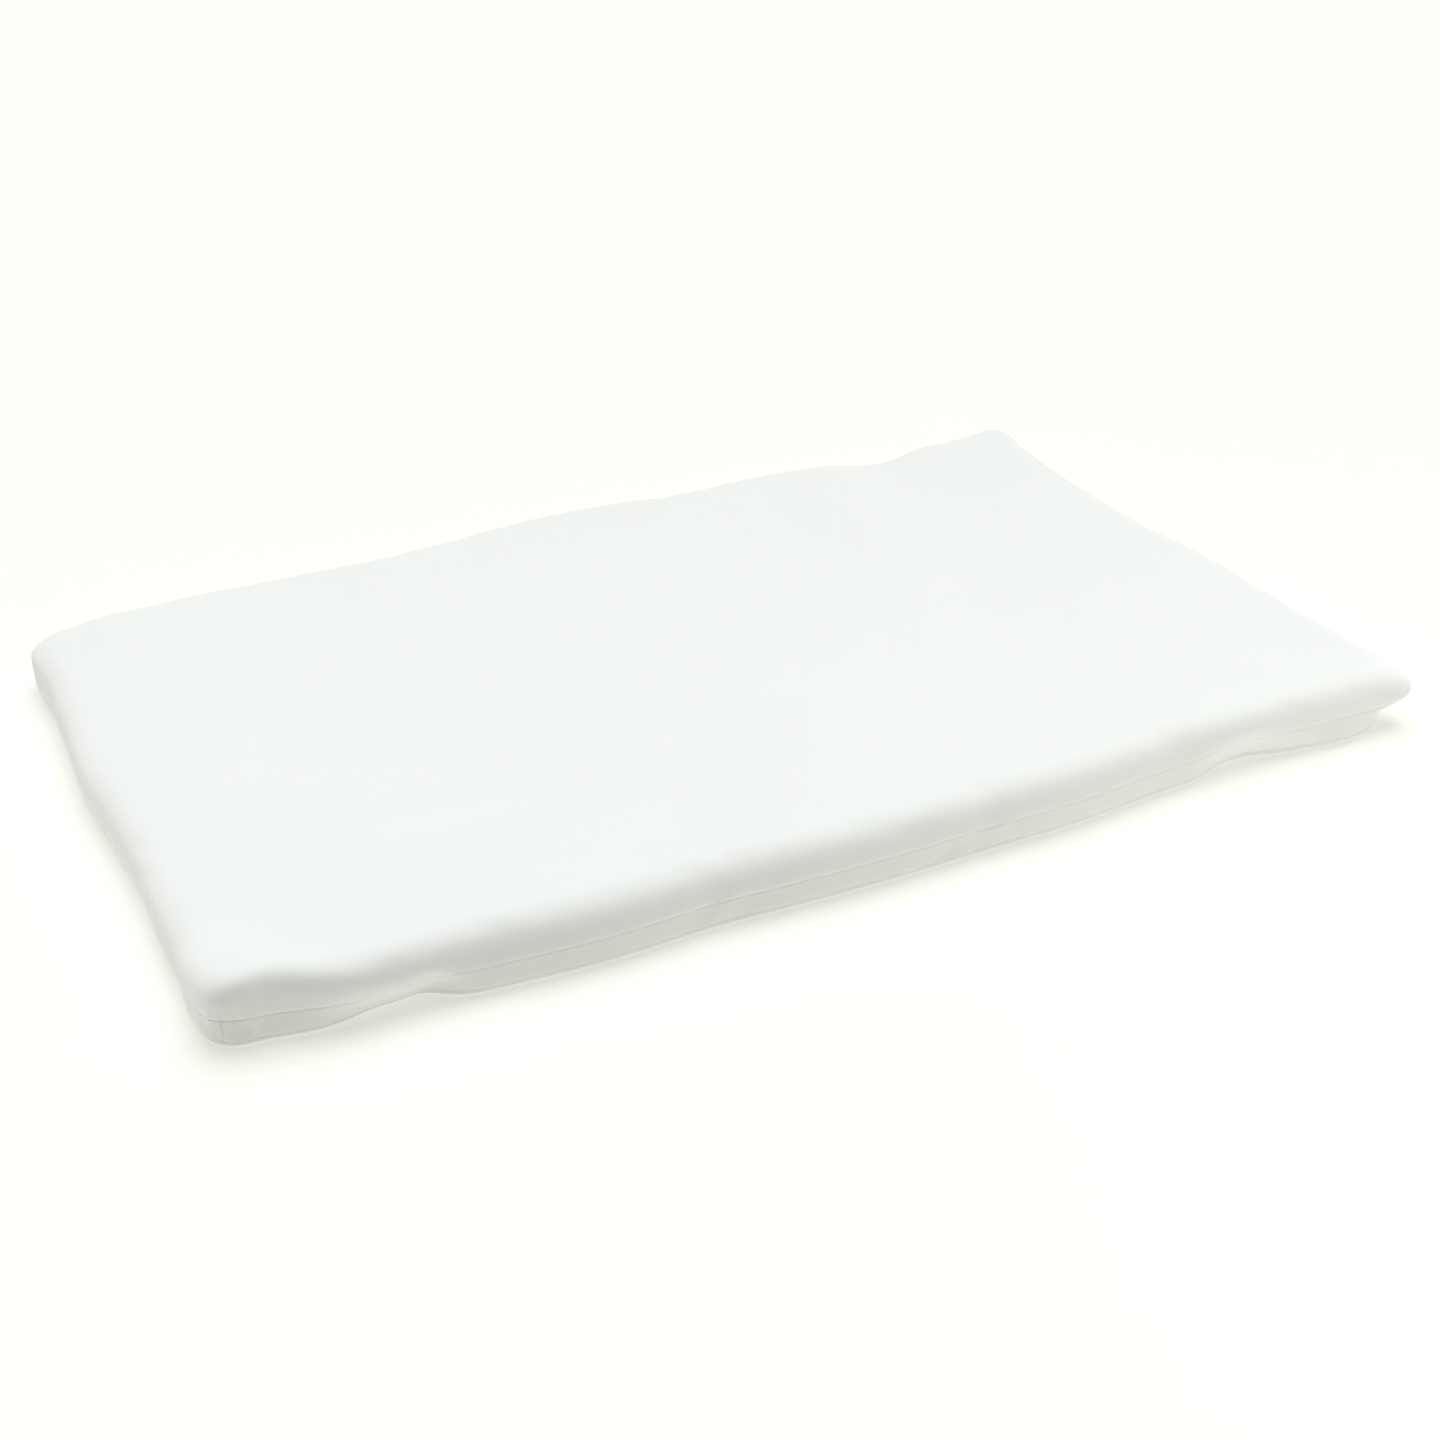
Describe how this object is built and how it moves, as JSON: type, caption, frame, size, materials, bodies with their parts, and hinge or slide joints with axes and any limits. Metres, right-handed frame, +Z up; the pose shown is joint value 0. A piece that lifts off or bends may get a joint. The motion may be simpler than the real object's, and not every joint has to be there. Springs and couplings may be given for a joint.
{
  "type": "memory foam mattress",
  "caption": "Thin rectangular foam mattress with rounded edges in a loose white knitted cover, closed by a coil zip across the foot end.",
  "frame": {"origin": "middle of the underside, at the height of the surface that the mattress lies on", "axes": "+X runs from the head end to the foot end with the zip, +Y from the front side to the back side, +Z up"},
  "size_m": [2.0029, 1.2008, 0.1],
  "materials": {
    "knit": "matte",
    "tricot": "matte",
    "jersey": "matte",
    "woven_tape": "matte",
    "memory_foam": "matte",
    "support_foam": "matte",
    "nylon": "satin",
    "nickel": "satin",
    "satin_label": "satin"
  },
  "bodies": {
    "mattress": {"memory_foam_layer": "memory_foam", "support_foam_core": "support_foam", "inner_liner": "jersey", "liner_mouth_elastic": "woven_tape", "cover_top_panel": "knit", "cover_border_front": "knit", "cover_border_back": "knit", "cover_border_left": "knit", "cover_border_right": "knit", "cover_bottom_panel": "tricot", "mid_seam_tape": "woven_tape", "bottom_seam_tape": "woven_tape", "zip_tape_upper": "woven_tape", "zip_tape_lower": "woven_tape", "zip_coil_upper": "nylon", "zip_coil_lower": "nylon", "zip_top_stop_upper": "nylon", "zip_top_stop_lower": "nylon", "zip_bottom_stop": "nylon", "care_label": "satin_label"},
    "slider": {"zip_slider": "nickel"},
    "pull_tab": {"zip_pull_tab": "nickel"}
  },
  "joints": [
    {"name": "zip_slide", "type": "slide", "parent": "mattress", "child": "slider", "axis": [0, 1, 0], "range_m": [0, 0.9864]},
    {"name": "pull_tab_hinge", "type": "hinge", "parent": "slider", "child": "pull_tab", "pos_m": [1.0008, -0.4932, 0.05], "axis": [0, 0, 1], "range_deg": [0, 180]}
  ]
}
